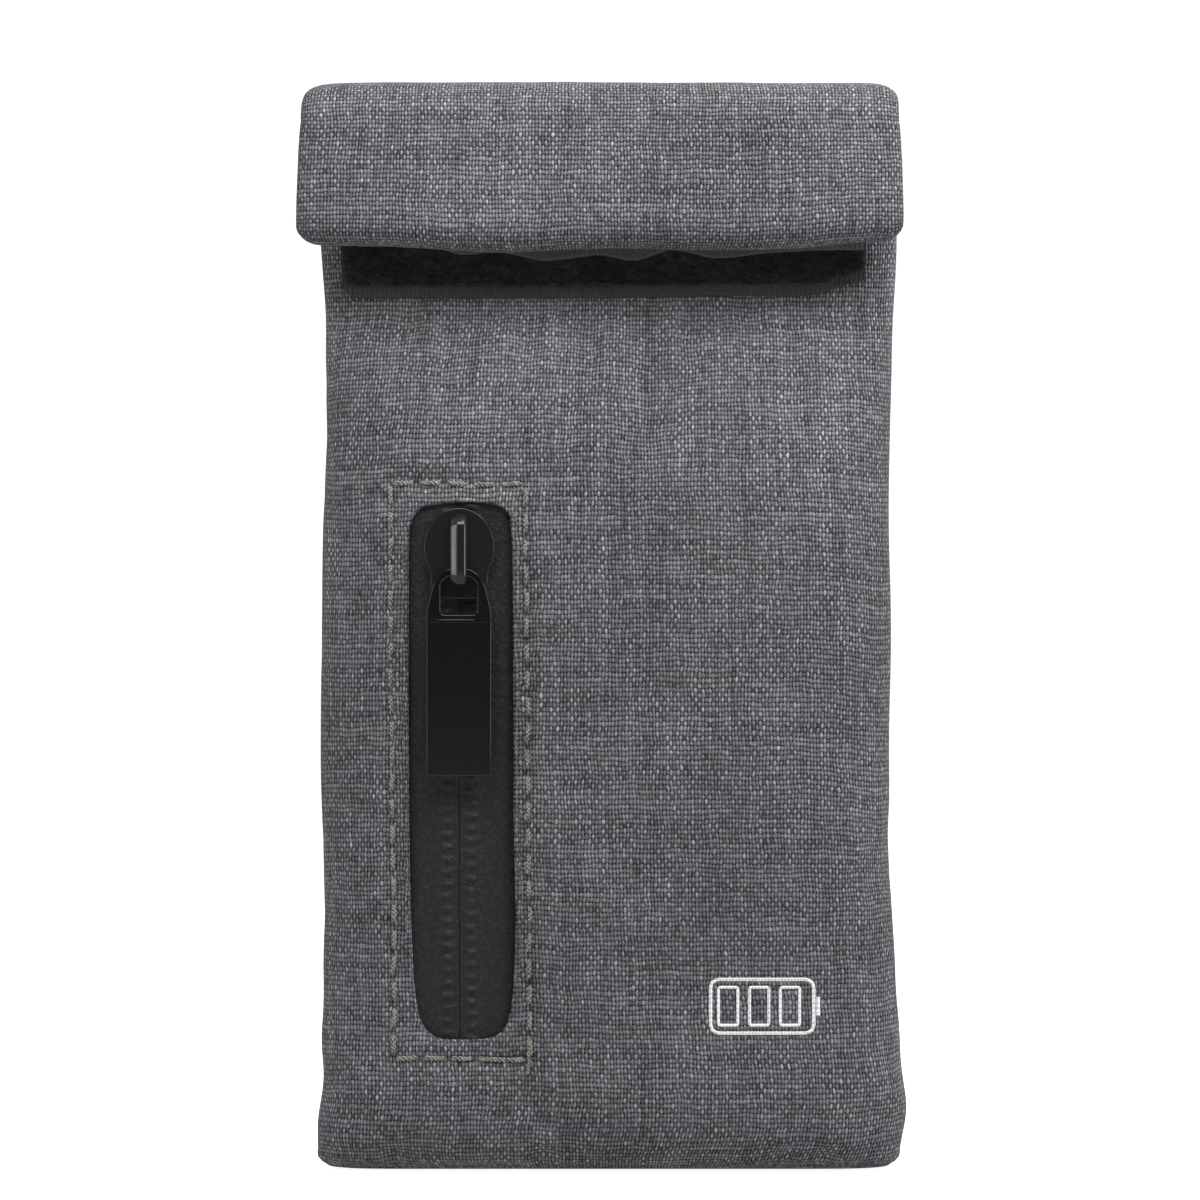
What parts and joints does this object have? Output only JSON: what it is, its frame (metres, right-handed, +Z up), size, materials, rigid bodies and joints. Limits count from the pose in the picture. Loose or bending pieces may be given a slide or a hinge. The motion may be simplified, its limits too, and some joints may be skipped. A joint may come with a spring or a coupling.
{
  "type": "lipo safe bag",
  "caption": "Small roll-top pouch for lithium batteries, in heathered canvas with a heat-resistant lining, a hook-and-loop closure and a vertical zip pocket.",
  "frame": {"origin": "middle of the flat base that the upright pouch stands on", "axes": "+Z up, from the base to the roll; the front with the zip faces -Y; +X is to the right of a person facing the front"},
  "size_m": [0.0726, 0.018, 0.1307],
  "materials": {
    "shell_fabric": "heathered two-tone plain weave canvas, matt",
    "liner_cloth": "silver-grey coated heat-resistant cloth, matt",
    "seam_cloth": "turned-in canvas edges, matt",
    "hook_loop_tape": "black hook-and-loop tape with a woven edge",
    "zip_tape": "black coated zip tape with a fine grain",
    "zip_coil": "black moulded coil",
    "slider_metal": "black lacquered die-cast metal",
    "pull_plate": "gloss black lacquer",
    "thread": "warm grey sewing thread",
    "print_ink": "off-white screen print",
    "pocket_cloth": "thin black pocket lining"
  },
  "bodies": {
    "pouch": {"shell_front": "shell_fabric", "shell_back": "shell_fabric", "liner_front": "liner_cloth", "liner_back": "liner_cloth", "side_seam_left": "seam_cloth", "side_seam_right": "seam_cloth", "bottom_seam": "seam_cloth", "top_fold": "shell_fabric", "loop_strip": "hook_loop_tape", "loop_strip_stitching": "thread", "zip_tape_left": "zip_tape", "zip_tape_right": "zip_tape", "zip_coil_left": "zip_coil", "zip_coil_right": "zip_coil", "zip_stop_top": "zip_coil", "zip_stop_bottom": "zip_coil", "window_stitching": "thread", "pocket_lining": "pocket_cloth", "printed_mark": "print_ink"},
    "slider": {"slider_body": "slider_metal", "slider_bail": "slider_metal"},
    "pull": {"pull_link": "slider_metal", "pull_plate": "pull_plate"},
    "roll_flap": {"flap_shell_back": "shell_fabric", "flap_liner_back": "liner_cloth", "flap_liner_front": "liner_cloth", "flap_shell_front": "shell_fabric", "flap_seam_left": "seam_cloth", "flap_seam_right": "seam_cloth", "crease_fold": "shell_fabric"},
    "mouth": {"mouth_shell_front": "shell_fabric", "mouth_liner_front": "liner_cloth", "mouth_liner_back": "liner_cloth", "mouth_shell_back": "shell_fabric", "mouth_seam_left": "seam_cloth", "mouth_seam_right": "seam_cloth", "hook_strip": "hook_loop_tape", "hook_strip_stitching": "thread"}
  },
  "joints": [
    {"name": "zip_slide", "type": "slide", "parent": "pouch", "child": "slider", "axis": [0, 0, -1], "range_m": [0, 0.046]},
    {"name": "pull_swing", "type": "hinge", "parent": "slider", "child": "pull", "pos_m": [-0.0175, -0.00945, 0.0716], "axis": [-1, 0, 0], "range_deg": [0, 145]},
    {"name": "flap_lift", "type": "hinge", "parent": "pouch", "child": "roll_flap", "pos_m": [0, -0.00282, 0.1254], "axis": [-1, 0, 0], "range_deg": [0, 178], "deforming": ["top_fold"]},
    {"name": "mouth_unfold", "type": "hinge", "parent": "roll_flap", "child": "mouth", "pos_m": [0, -0.0065, 0.1146], "axis": [-1, 0, 0], "range_deg": [0, 178], "deforming": ["crease_fold"]}
  ],
  "couplings": [
    {"joint": "mouth_unfold", "follows": "flap_lift", "ratio": 1}
  ]
}
